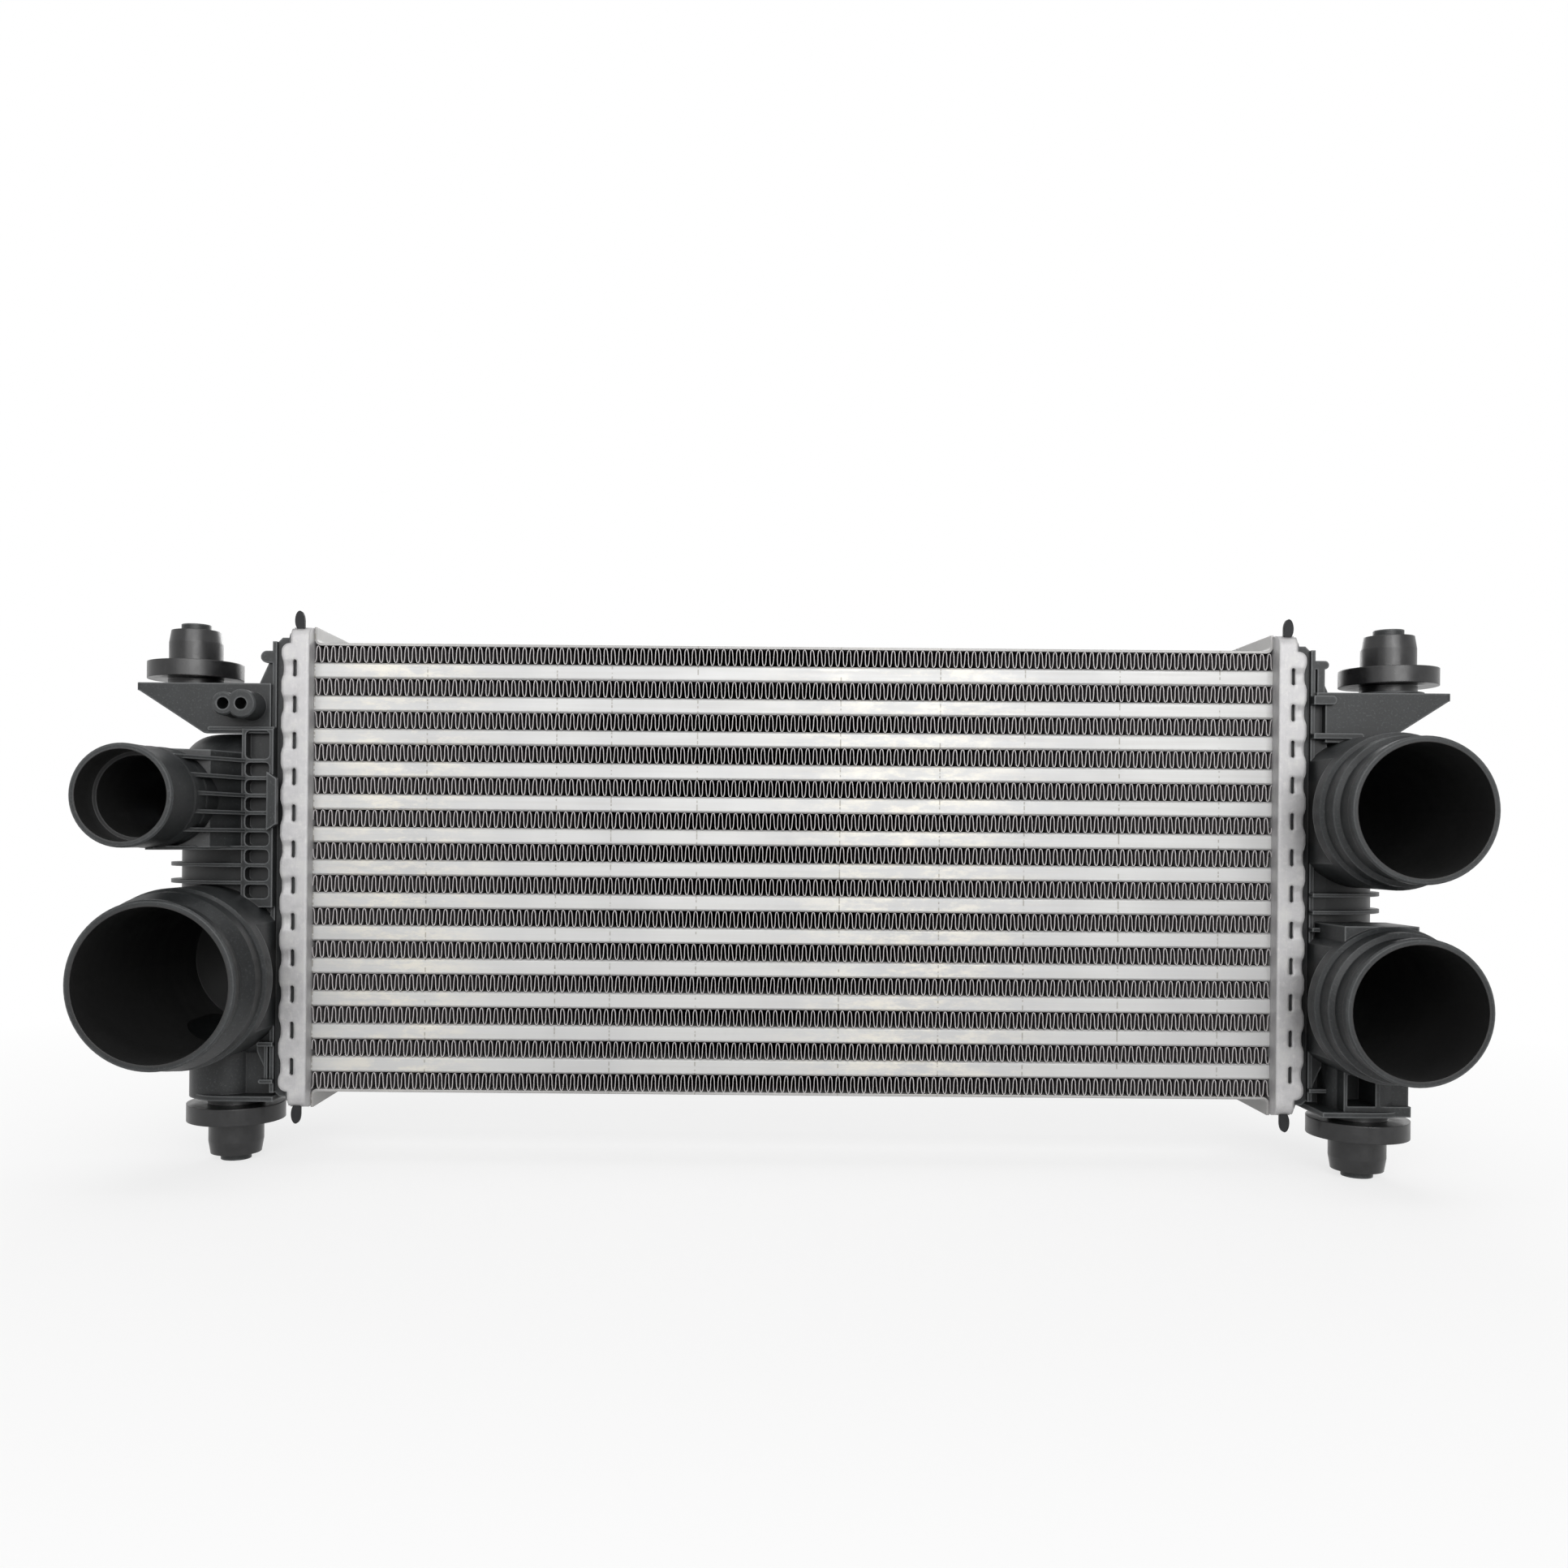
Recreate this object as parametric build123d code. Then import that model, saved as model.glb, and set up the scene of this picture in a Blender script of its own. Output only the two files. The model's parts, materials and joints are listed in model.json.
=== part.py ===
from build123d import *
import os

# Charge-air cooler: a brazed aluminium tube-and-fin core between two plastic end tanks, which are crimped into
# pressed header plates. X runs along the tubes, Y from front to back and Z up, in millimetres. The core is
# modelled about its own centre. save() moves each piece to the part's origin, which is the seat of the lower
# left isolator. A tank's own frame has its X outward from the end of the core, and the left one is mirrored.

# Core
core_width = 450.0
core_depth = 80.0
tube_count = 13
tube_height = 7.4
tube_wall = 0.5
tube_corner = 0.8           # flat bevel along a tube's edges
tube_reach = 2.0            # how far a tube stands out of the header plate, into the tank
fin_height = 8.0
fin_sheet = 0.6
fin_waves = 12
fin_end_gap = 1.0
turbulator_sheet = 0.4
turbulator_waves = 5
turbulator_setback = 6.0
braze_gap = 0.05            # around a tube in its header opening, and inside a tube
pitch = tube_height + fin_height
half_height = (tube_count * pitch + fin_height) / 2

# Side plates
side_sheet = 1.2
side_bend = 3.0
side_tab_height = 8.5

# Header plates
header_sheet = 2.0
header_half_depth = core_depth / 2 + 8.0
header_half_height = half_height + 7.9
header_corner = 6.0
header_lip = 12.7           # height of the crimped front and rear walls
neck_lip = 8.5              # height of the walls past the shoulders
shoulder_level = header_half_height - 8.0
shoulder_round = 3.8
end_lip = 11.4
end_lip_half = core_depth / 2 - 10.0
crimp_count = 12
crimp_margin = 11.6         # from a shoulder to the nearest crimp
crimp_pitch = 2 * (shoulder_level - crimp_margin) / (crimp_count - 1)
slot_length = 8.0
slot_width = 1.9
slot_level = 6.6
dimple_depth = 1.4
dimple_half = 4.8           # half the width of a crimp on the inside, at its foot
dimple_flat = 2.0           # and at its crest
scoop_depth = 0.9           # of the same crimp on the outside
scallop_depth = 0.8
scallop_half = 6.0
scallop_flat = 3.0
crimp_gap = 0.3             # between a pushed-in crimp and the foot that it holds

# Gaskets
gasket_height = 3.0
gasket_gap = 0.2            # to the walls of the header plate
gasket_width = 3.6
leaf_length = 9.0
leaf_width = 4.4
leaf_sheet = 2.0
leaf_gap = 0.3              # around a leaf's stem in the header plate
leaf_depth = header_half_depth - 4.0
leaf_out = 3.2
leaf_middle = header_half_height + 3.0

# End tanks
wall = 3.0
foot_height = 5.0
foot_gap = 0.4              # from the foot to the walls of the header plate
tank_half_depth = header_half_depth - 4.0
tank_half_height = header_half_height - 5.0
rail_start = 15.5
rail_width = 2.0
rail_half_depth = header_half_depth - 2.0
rail_half_height = header_half_height - 7.0
shallow_depth = 24.0        # the tank above and below its plenum
shallow_rise = header_half_height - 26.0
rim_depth = 19.0
rim_rise = header_half_height - 15.0
left_plenum = (71.0, -92.0, 63.0)       # how far it stands out, and its two levels
right_plenum = (57.0, -92.0, 63.0)
plenum_round = 34.0
plenum_end_round = 16.0
rib_sheet = 1.8
rib_round = 38.0
rib_pitch = 8.06
rib_count = 8
first_rib = 49.2
left_rib_rise = 4.0
right_rib_rise = 3.0
right_rib_levels = (-8.8, -16.8, -24.8)
front_rib_height = 6.0      # of the ribs on the front wall
ladder_reach = 30.0
ladder_bottom = -18.6
roof_rib = (63.0, 65.0)     # levels of the rib over the ladder
roof_rib_reach = 46.4
clear_of_header = 23.0      # from the header plate's front to the full round of a port's body
throat_depth = 16.0         # from a mouth to the step in its bore
neck_start = 31.6           # inside of the wall between the ladder and the small port
neck_setback = 9.0          # of that wall behind the back of the port's collar
neck_rib_count = 6
latch = (13.0, 17.5)
latch_levels = (17.0, 44.0)
latch_front = -header_half_depth - 5.0
latch_sheet = 3.0
ledge_start = 19.0          # of the flat ledge over the lower port
ledge_reach = 52.0
ledge_front = -76.0
screw_places = (26.3, 34.5)
screw_boss_radii = (6.6, 5.4)
screw_boss_edge = 0.7
screw_level = 74.5
screw_hole_radius = 2.7
screw_front = -62.0
screw_hole_depth = 12.0

# Brackets, pins and isolators
plate_top = header_half_height - 26.8
plate_sheet = 3.5
plate_reach = 80.0
plate_front = -header_half_depth
plate_rear = 24.0
web_sheet = 4.0
right_web_start = 21.5      # where the right bracket's webs start, out from the core's end
web_foot = (48.5, 62.0)
pad_radius = 16.0
pad_height = 2.6
boss_radius = 17.5
boss_bottom = 3.0 - header_half_height
boss_disc_radius = 20.0
boss_disc_height = 2.4
boss_top = -62.0
apron_top = -78.0
apron_setback = 5.0         # from the tank's front
left_boss_shift = 4.0       # of the left boss, out from its pin
fin_web_reach = 59.5
boxed_boss = (26.0, 56.5)   # the flat front of the right boss, and its pockets
boxed_boss_top = -84.0
boxed_boss_front = -60.5
deep_pocket = (27.6, 40.4)
deep_pocket_depth = 17.0
shallow_pocket = (42.4, boxed_boss[1] + 1)
shallow_pocket_depth = 2.5
pocket_levels = (-104.2, -89.8)
pin_radius = 7.0
pin_end = 3.2               # how far a pin stands out of its isolator
pin_gap = 0.1
neck_radius = 13.0
neck_height = 3.5
flange_radius = 22.5
flange_height = 8.0
bush_radius = 12.6
bush_tip_radius = 11.6
bush_height = 16.0
bush_straight = 10.0

foot_base = header_sheet + gasket_height
foot_top = foot_base + foot_height
inner_half_depth = header_half_depth - header_sheet
inner_half_height = header_half_height - header_sheet
foot_half_depth = inner_half_depth - foot_gap
foot_half_height = inner_half_height - foot_gap
header_front = -header_half_depth
isolator_height = neck_height + flange_height + bush_height
upper_seat = plate_top + pad_height


class Port:
    """A hose spigot that points forward, with a bead at its mouth, a stop collar and a step in its bore."""

    def __init__(self, out, level, reach, radius, bore, throat, bead, collar, seat_length, ramp, collar_length, body):
        self.out, self.level, self.radius, self.bore, self.throat = out, level, radius, bore, throat
        self.mouth = -core_depth / 2 - reach
        self.bead, self.ramp, self.collar, self.body = bead, ramp, collar, body
        self.stop = self.mouth + seat_length
        self.back = self.stop + collar_length


small_port = Port(58.0, 31.0, 71.0, 22.0, 19.4, 17.6, 0.0, 22.3, 24.0, 1.5, 10.0, 22.6)
large_port = Port(48.0, -49.3, 65.0, 36.5, 33.5, 33.5, 1.0, 39.0, 17.0, 8.0, 8.0, 40.5)
upper_port = Port(41.3, 29.6, 63.0, 31.75, 29.0, 29.0, 1.0, 33.2, 15.0, 1.5, 8.5, 35.0)
lower_port = Port(39.8, -56.4, 63.0, 31.75, 29.0, 29.0, 1.0, 33.2, 15.0, 1.5, 8.5, 35.0)

# Each pin: its distance out from the core's end, and its place from front to back
upper_left_pin = (70.0, -4.0)
upper_right_pin = (64.0, -19.0)
lower_left_pin = (39.5, -27.0)
lower_right_pin = (40.0, -43.0)

lower_seat = boss_bottom - neck_height - flange_height
origin = Vector(-core_width / 2 - lower_left_pin[0], lower_left_pin[1], lower_seat)


def block(out, depth, level):
    """A box between two values along each axis."""
    lows = [min(pair) for pair in (out, depth, level)]
    sizes = [abs(pair[1] - pair[0]) for pair in (out, depth, level)]
    return Pos(*lows) * Box(*sizes, align=(Align.MIN, Align.MIN, Align.MIN))


def across(radius, out, level, front, rear):
    """A cylinder along Y."""
    base = Plane(origin=(out, front, level), x_dir=(1, 0, 0), z_dir=(0, 1, 0))
    return extrude(base * Circle(radius), amount=rear - front)


def upright(radius, out, depth, low, high):
    """A cylinder along Z."""
    return extrude(Pos(out, depth, low) * Circle(radius), amount=high - low)


def prism(points, front, rear):
    """A polygon drawn in X and Z, between two values of Y."""
    base = Plane(origin=(0, front, 0), x_dir=(1, 0, 0), z_dir=(0, -1, 0))
    return extrude(base * make_face(Polyline(*points, close=True)), amount=front - rear)


def flat(points, low, high):
    """A polygon drawn in X and Y, between two levels."""
    return extrude(Pos(0, 0, low) * make_face(Polyline(*points, close=True)), amount=high - low)


def fuse(pieces):
    """One solid from pieces that meet."""
    whole = pieces[0]
    for piece in pieces[1:]:
        whole = whole + piece
    return whole


def save(name, shape):
    """Writes one piece, moved to the part's origin."""
    export_step(Pos(*(-origin)) * shape, f"parts/{name}.step")


def at_end(side, shape):
    """Moves a shape from a tank's own frame to its end of the core."""
    if side == "left":
        shape = mirror(shape, about=Plane.YZ)
        return Pos(-core_width / 2, 0, 0) * shape
    return Pos(core_width / 2, 0, 0) * shape


# ---------------------------------------------------------------- core


def tube_level(index):
    return -half_height + fin_height + tube_height / 2 + index * pitch


def fin_level(index):
    return -half_height + fin_height / 2 + index * pitch


def corrugation(length, height, sheet, waves):
    """A zigzag strip, drawn about its centre, whose crests reach the full height."""
    swing = (height - sheet) / 2
    step = length / (2 * waves)
    crest = [(-length / 2 + step * i, swing if i % 2 else -swing) for i in range(2 * waves + 1)]
    upper = [(x, y + sheet / 2) for x, y in crest]
    lower = [(x, y - sheet / 2) for x, y in reversed(crest)]
    return make_face(Polyline(*upper, *lower, close=True))


def tube_section(growth):
    """The outline across a flat tube, with bevelled edges, grown evenly by the given amount."""
    outline = Rectangle(core_depth, tube_height)
    bevelled = chamfer(outline.vertices(), tube_corner)
    return offset(bevelled, growth, kind=Kind.INTERSECTION) if growth else bevelled


def charge_air_tube():
    reach = core_width / 2 + header_sheet + tube_reach
    section = tube_section(0) - tube_section(-tube_wall)
    return extrude(Plane.YZ * section, amount=reach, both=True)


def turbulator():
    reach = core_width / 2 + header_sheet + tube_reach - turbulator_setback
    height = tube_height - 2 * tube_wall - 2 * braze_gap
    width = core_depth - 2 * (tube_corner + tube_wall)
    strip = corrugation(width, height, turbulator_sheet, turbulator_waves)
    return extrude(Plane.YZ * strip, amount=reach, both=True)


def cooling_fin():
    strip = corrugation(core_width - 2 * fin_end_gap, fin_height, fin_sheet, fin_waves)
    return extrude(Plane.XZ * strip, amount=core_depth / 2, both=True)


def side_plate():
    """The upper plate: flat on the outermost fin, with its ends bent outward against the header plates."""
    low, top = half_height, half_height + side_tab_height
    end = core_width / 2
    points = [
        (-end, top),
        (-end, low),
        (end, low),
        (end, top),
        (end - side_sheet, top),
        (end - side_sheet, low + side_sheet),
        (side_sheet - end, low + side_sheet),
        (side_sheet - end, top),
    ]
    plate = prism(points, -core_depth / 2, core_depth / 2)
    bends = plate.edges().filter_by(Axis.Y)
    outer = [edge for edge in bends if abs(edge.center().Z - low) < 0.01]
    plate = fillet(outer, side_bend)
    bends = plate.edges().filter_by(Axis.Y)
    inner = [edge for edge in bends if abs(edge.center().Z - low - side_sheet) < 0.01]
    inner = [edge for edge in inner if abs(abs(edge.center().X) - end + side_sheet) < 0.01]
    return fillet(inner, side_bend - side_sheet)


# ---------------------------------------------------------------- header plates and gaskets


def crimp_levels():
    middle = (crimp_count - 1) / 2
    return [(index - middle) * crimp_pitch for index in range(crimp_count)]


def crimp_slots(level):
    """The slot pair beside one crimp, through the front and rear walls."""
    outline = Rectangle(slot_width, slot_length)
    outline = chamfer(outline.vertices(), slot_width / 3)
    return extrude(Plane.XZ * Pos(slot_level, level) * outline, amount=header_half_depth + 1, both=True)


def dimple(side, level, base, depth, half, flat):
    """The outline across one pushed-in crimp, as a tapered notch from the given depth inward."""
    return make_face(Polyline(
        (side * base, level - half), (side * base, level + half),
        (side * (base - depth), level + flat), (side * (base - depth), level - flat), close=True,
    ))


def header_plate():
    """A pan with its base against the core, pressed tube openings and slotted, crimped walls."""
    outline = RectangleRounded(2 * header_half_depth, 2 * header_half_height, header_corner)
    inside = RectangleRounded(2 * inner_half_depth, 2 * inner_half_height, header_corner - header_sheet)
    pan = extrude(Plane.YZ * outline, amount=header_lip)
    pan -= Pos(header_sheet, 0, 0) * extrude(Plane.YZ * inside, amount=header_lip)

    half, lip = header_half_height, header_lip
    front_view = make_face(Polyline(
        (0, -half), (0, half), (neck_lip, half), (neck_lip, shoulder_level), (lip, shoulder_level),
        (lip, -shoulder_level), (neck_lip, -shoulder_level), (neck_lip, -half), close=True,
    ))
    shoulders = [point for point in front_view.vertices() if abs(point.X - lip) < 0.01]
    front_view = fillet(shoulders, shoulder_round)
    across_all = Plane.XZ * front_view
    pan = pan & extrude(across_all, amount=header_half_depth, both=True)
    for side in (-1, 1):
        pan += block((0, end_lip), (-end_lip_half, end_lip_half), (side * inner_half_height, side * half))

    slot_edge = slot_level + slot_width / 2
    crimp_start = foot_top + crimp_gap
    for level in crimp_levels():
        for side in (-1, 1):
            bump = dimple(side, level, inner_half_depth, dimple_depth, dimple_half, dimple_flat)
            pan += Pos(crimp_start, 0, 0) * extrude(Plane.YZ * bump, amount=lip - crimp_start)
            scoop = dimple(side, level, header_half_depth, scoop_depth, dimple_half - 0.7, dimple_flat - 0.7)
            pan -= Pos(slot_edge, 0, 0) * extrude(Plane.YZ * scoop, amount=lip - slot_edge)
        pan -= crimp_slots(level)
        scallop = make_face(Polyline(
            (lip, level - scallop_half), (lip, level + scallop_half),
            (lip - scallop_depth, level + scallop_flat), (lip - scallop_depth, level - scallop_flat), close=True,
        ))
        pan -= extrude(Plane.XZ * scallop, amount=header_half_depth, both=True)

    stem = block(
        (leaf_out - leaf_gap, lip),
        (-leaf_depth - leaf_sheet / 2 - leaf_gap, leaf_gap + leaf_sheet / 2 - leaf_depth),
        (inner_half_height - 4, half + 1),
    )
    pan = pan - stem - mirror(stem, about=Plane.XY)

    opening = tube_section(braze_gap)
    for index in range(tube_count):
        pan -= extrude(Plane.YZ * Pos(0, tube_level(index)) * opening, amount=header_sheet)
    return pan


def tank_gasket():
    """A rubber ring under the tank's foot, with a leaf at each front corner."""
    half_depth, half_height_out = inner_half_depth - gasket_gap, inner_half_height - gasket_gap
    ring = RectangleRounded(2 * half_depth, 2 * half_height_out, header_corner - header_sheet - gasket_gap)
    ring -= RectangleRounded(
        2 * (half_depth - gasket_width), 2 * (half_height_out - gasket_width), 1.0
    )
    gasket = Pos(header_sheet, 0, 0) * extrude(Plane.YZ * ring, amount=gasket_height)
    front, rear = -leaf_depth - leaf_sheet / 2, leaf_sheet / 2 - leaf_depth
    oval = Plane(origin=(leaf_out + leaf_width / 2, front, leaf_middle), x_dir=(1, 0, 0), z_dir=(0, 1, 0))
    leaf = extrude(oval * Ellipse(leaf_width / 2, leaf_length / 2), amount=leaf_sheet)
    leaf += block((leaf_out, foot_base), (front, rear), (inner_half_height - 4, leaf_middle))
    return gasket + leaf + mirror(leaf, about=Plane.XY)


# ---------------------------------------------------------------- end tanks


def shallow_profile(low):
    """The tank's outline from the front, without its plenum, from the given distance outward."""
    rim, rise = tank_half_height, rail_half_height - 2
    outer = [
        (low, rim),
        (rail_start - 2, rim),
        (rail_start + rail_width, rise),
        (rim_depth, rim_rise),
        (shallow_depth, shallow_rise),
    ]
    return make_face(Polyline(*outer, *[(x, -y) for x, y in reversed(outer)], close=True))


def plenum(depth, low, top, inset):
    """The deep, rounded part of a tank between two levels, or its cavity when inset."""
    shape = block(
        (foot_base - 2 * inset, depth - inset),
        (inset - tank_half_depth, tank_half_depth - inset),
        (low + inset, top - inset),
    )
    uprights = shape.edges().filter_by(Axis.Z).sort_by(Axis.X)[-2:]
    shape = fillet(uprights, plenum_round - inset)
    start = foot_base - 2 * inset
    rims = []
    for face in (shape.faces().sort_by(Axis.Z)[-1], shape.faces().sort_by(Axis.Z)[0]):
        rims += [edge for edge in face.edges() if edge.center().X > start + 0.1]
    return fillet(rims, plenum_end_round - inset)


def port_outside(port, rear):
    """A spigot as a turned form on its axis, from its mouth back to the given depth."""
    mouth, seat = port.mouth, port.radius - port.bead
    edge = 0.8
    points = [(0, mouth), (port.radius - edge, mouth), (port.radius, mouth + edge)]
    if port.bead:
        points += [(port.radius, mouth + 4), (seat, mouth + 5.5)]
    points += [
        (seat, port.stop - port.ramp),
        (port.collar, port.stop),
        (port.collar, port.back),
        (port.body, port.back + 1.5),
        (port.body, rear),
        (0, rear),
    ]
    turned = revolve(make_face(Polyline(*points, close=True)), Axis.Y)
    return Pos(port.out, 0, port.level) * turned


def port_body(port):
    """The spigot and its body, which narrows beside the header plate and has a rounded back."""
    rear = tank_half_depth - 14
    shape = port_outside(port, rear)
    back = shape.edges().filter_by(GeomType.CIRCLE).sort_by(Axis.Y)[-1]
    shape = fillet(back, 14)
    beside = header_front - clear_of_header
    return shape - block((-60, rail_start), (beside, 60), (port.level - 60, port.level + 60))


def port_bore(port):
    """The air way through a spigot into the plenum."""
    bore = across(port.throat, port.out, port.level, port.mouth - 1, tank_half_depth - 17)
    if port.bore > port.throat:
        bore += across(port.bore, port.out, port.level, port.mouth - 1, port.mouth + throat_depth)
    beside = header_front - clear_of_header - wall
    return bore - block((-60, rail_start + wall), (beside, 60), (port.level - 60, port.level + 60))


def bracket(pin, web_start):
    """A plate with two webs, a round pad and the pin that an upper isolator is pressed on."""
    out, depth = pin
    low = plate_top - plate_sheet
    start = rail_start + rail_width
    pieces = [block((start, plate_reach), (plate_front, plate_rear), (low, plate_top))]
    corners = pieces[0].edges().filter_by(Axis.Z).sort_by(Axis.X)[-2:]
    pieces[0] = fillet(corners, 2.0)
    web = [(web_start, low), (plate_reach - 1, low), web_foot, (web_start, web_foot[1])]
    for front in (plate_front, plate_rear - web_sheet):
        pieces.append(prism(web, front, front + web_sheet))
    pieces.append(upright(pad_radius, out, depth, low, upper_seat))
    pieces.append(upright(pin_radius, out, depth, low, upper_seat + isolator_height + pin_end))
    return fuse(pieces)


def lower_boss(pin, shift):
    """The round boss under a tank, with the pin that a lower isolator is pressed on, and its walls to the rail."""
    out, depth = pin
    disc = (boss_bottom, boss_bottom + boss_disc_height)
    apron = apron_setback - tank_half_depth
    pieces = [
        upright(boss_radius, out + shift, depth, boss_bottom, boss_top),
        upright(boss_disc_radius, out, depth, *disc),
        block((rail_start, out), (depth - boss_disc_radius, depth + boss_disc_radius), disc),
        block((rail_start, out), (apron, apron + wall), (boss_bottom, apron_top)),
        upright(pin_radius, out, depth, boss_bottom - isolator_height - pin_end, boss_bottom),
    ]
    return fuse(pieces)


def tank_shell(depth, low, top):
    """Foot, rail, shallow ends and plenum, still solid."""
    pieces = [extrude(Plane.XZ * shallow_profile(foot_base), amount=tank_half_depth, both=True)]
    foot = RectangleRounded(2 * foot_half_depth, 2 * foot_half_height, header_corner - header_sheet)
    pieces.append(Pos(foot_base, 0, 0) * extrude(Plane.YZ * foot, amount=foot_height))
    rail = (rail_start, rail_start + rail_width)
    pieces.append(block(rail, (-rail_half_depth, rail_half_depth), (-rail_half_height, rail_half_height)))
    pieces.append(plenum(depth, low, top, 0))
    return fuse(pieces)


def tank_cavity(depth, low, top):
    """The space inside a tank, open at its foot."""
    shallow = offset(shallow_profile(foot_base - 2 * wall), -wall, kind=Kind.INTERSECTION)
    hollow = extrude(Plane.XZ * shallow, amount=tank_half_depth - wall, both=True)
    return hollow + plenum(depth, low, top, wall)


def hoop_rib(depth, rise, level, start):
    """A flat rib that runs round the plenum at one level."""
    rib = block(
        (start, depth + rise),
        (-tank_half_depth - front_rib_height, tank_half_depth + front_rib_height),
        (level - rib_sheet / 2, level + rib_sheet / 2),
    )
    return fillet(rib.edges().filter_by(Axis.Z).sort_by(Axis.X)[-2:], rib_round)


def lug(reach, low, high, front):
    """A short rounded lip that stands out from the rail."""
    tip = (high - low) / 2
    return block((rail_start, reach - tip), (front, -tank_half_depth), (low, high)) + across(
        tip, reach - tip, (low + high) / 2, front, -tank_half_depth
    )


def ladder():
    """The pocketed panel beside the left tank's rail: a tall pocket over the first rib, then one under each."""
    front = -tank_half_depth - front_rib_height
    top = sum(roof_rib) / 2
    panel = block((rail_start, ladder_reach), (front, 1 - tank_half_depth), (ladder_bottom, top))
    edges = [first_rib - index * rib_pitch for index in range(rib_count + 1)]
    pockets = [(first_rib + rib_sheet / 2, roof_rib[0])]
    pockets += [(level - rib_pitch + rib_sheet / 2, level - rib_sheet / 2) for level in edges[:-1]]
    for low, high in pockets:
        place = Plane(
            origin=((rail_start + ladder_reach) / 2, front, (low + high) / 2), x_dir=(1, 0, 0), z_dir=(0, 1, 0)
        )
        size = RectangleRounded(ladder_reach - rail_start - 2 * rib_sheet, high - low, 2.0)
        panel -= extrude(place * size, amount=front_rib_height)
    return panel


def small_neck():
    """The wall that leads from the ladder forward to the small port, with its ribs."""
    port, start = small_port, ladder_reach - rib_sheet
    base, front = wall - tank_half_depth, -tank_half_depth - front_rib_height
    low, high = port.level - port.radius, port.level + port.radius
    side = port.out - port.throat - wall
    outline = [(start, base), (start, front + 5), (side, port.back + neck_setback), (port.out, port.back)]
    pieces = [flat(outline + [(port.out, base)], low, high)]
    for index in range(neck_rib_count):
        level = first_rib - index * rib_pitch
        side = max(port.radius ** 2 - (level - port.level) ** 2, 16) ** 0.5
        rib = [(start, base), (start, front), (port.out - side, port.stop), (port.out, port.stop), (port.out, base)]
        pieces.append(flat(rib, level - rib_sheet / 2, level + rib_sheet / 2))
    return fuse(pieces)


def small_neck_cavity():
    """The air space inside that wall, which widens the small port's bore into the plenum."""
    port = small_port
    base, front = 2 * wall - tank_half_depth, -tank_half_depth
    side = port.out - port.throat + 1
    end = port.back + neck_setback + wall
    inside = [(neck_start, base), (neck_start, front), (side, end), (port.out, end), (port.out, base)]
    return flat(inside, port.level - port.throat + wall, port.level + port.throat - wall)


def latch_tab():
    """A tab that stands in front of the left rail, with slanted ends."""
    near, far = latch
    low, high = latch_levels
    head = [(far, low), (far, high), (near, high - latch_sheet), (near, low + latch_sheet)]
    tab = prism(head, latch_front, latch_front + latch_sheet)
    return tab + block((rail_start, far), (latch_front, -tank_half_depth), (low + 2, high - 2))


def left_tank():
    depth, low, top = left_plenum
    levels = [first_rib - index * rib_pitch for index in range(rib_count)]
    ribs = [hoop_rib(depth, left_rib_rise, level, ladder_reach - rib_sheet) for level in levels]
    outside = [tank_shell(depth, low, top), ladder(), bracket(upper_left_pin, rail_start + rail_width)] + ribs
    outside.append(lower_boss(lower_left_pin, left_boss_shift))
    outside += [port_body(small_port), port_body(large_port), small_neck(), latch_tab()]
    outside.append(lug(23.0, 95.0, 100.6, -rail_half_depth))
    outside.append(lug(roof_rib_reach, *roof_rib, -tank_half_depth - front_rib_height + 1))
    outside.append(lug(22.9, -83.2, -81.2, -header_half_depth))
    outside.append(lug(22.0, -100.5, -98.5, -header_half_depth))
    outside.append(block((18.4, 20.0), (-rail_half_depth, -tank_half_depth), (-99.0, -82.0)))
    out, place = lower_left_pin
    web = [(out, boss_bottom), (fin_web_reach, boss_bottom), (fin_web_reach - 2.5, boxed_boss_top)]
    outside.append(prism(web + [(out, boxed_boss_top)], place - web_sheet, place))
    for place, radius in zip(screw_places, screw_boss_radii):
        boss = across(radius, place, screw_level, screw_front, plate_front + 1)
        outside.append(chamfer(boss.edges().sort_by(Axis.Y)[0], screw_boss_edge))
    whole = fuse(outside) - tank_cavity(depth, low, top) - small_neck_cavity()
    for port in (small_port, large_port):
        whole -= port_bore(port)
    for place in screw_places:
        whole -= across(screw_hole_radius, place, screw_level, screw_front - 1, screw_front + screw_hole_depth)
    return whole


def right_boss_box():
    """The flat front of the right lower boss, with a shallow pocket."""
    levels = (boss_bottom, boxed_boss_top)
    box = block(boxed_boss, (boxed_boss_front, lower_right_pin[1]), levels)
    return box - block(shallow_pocket, (boxed_boss_front - 1, boxed_boss_front + shallow_pocket_depth), pocket_levels)


def right_tank():
    depth, low, top = right_plenum
    ribs = [hoop_rib(depth, right_rib_rise, level, rail_start) for level in right_rib_levels]
    outside = [tank_shell(depth, low, top), bracket(upper_right_pin, right_web_start)] + ribs
    outside.append(lower_boss(lower_right_pin, 0))
    outside += [port_body(upper_port), port_body(lower_port), right_boss_box()]
    ledge = (lower_port.level + lower_port.body - 11, lower_port.level + lower_port.body)
    outside.append(block((ledge_start, ledge_reach), (ledge_front, -tank_half_depth), ledge))
    outside.append(lug(23.8, 96.2, 100.1, -rail_half_depth))
    outside.append(block((18.5, 21.9), (-rail_half_depth, wall - tank_half_depth), (plate_top - 1, 97.0)))
    outside.append(lug(26.0, 79.4, 83.6, -header_half_depth - 2))
    outside.append(lug(38.6, 63.6, 66.2, -header_half_depth - 2))
    outside.append(lug(26.4, -100.6, -98.8, -header_half_depth))
    whole = fuse(outside) - tank_cavity(depth, low, top)
    for port in (upper_port, lower_port):
        whole -= port_bore(port)
    return whole - block(deep_pocket, (boxed_boss_front - 1, boxed_boss_front + deep_pocket_depth), pocket_levels)


# ---------------------------------------------------------------- isolators


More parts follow.
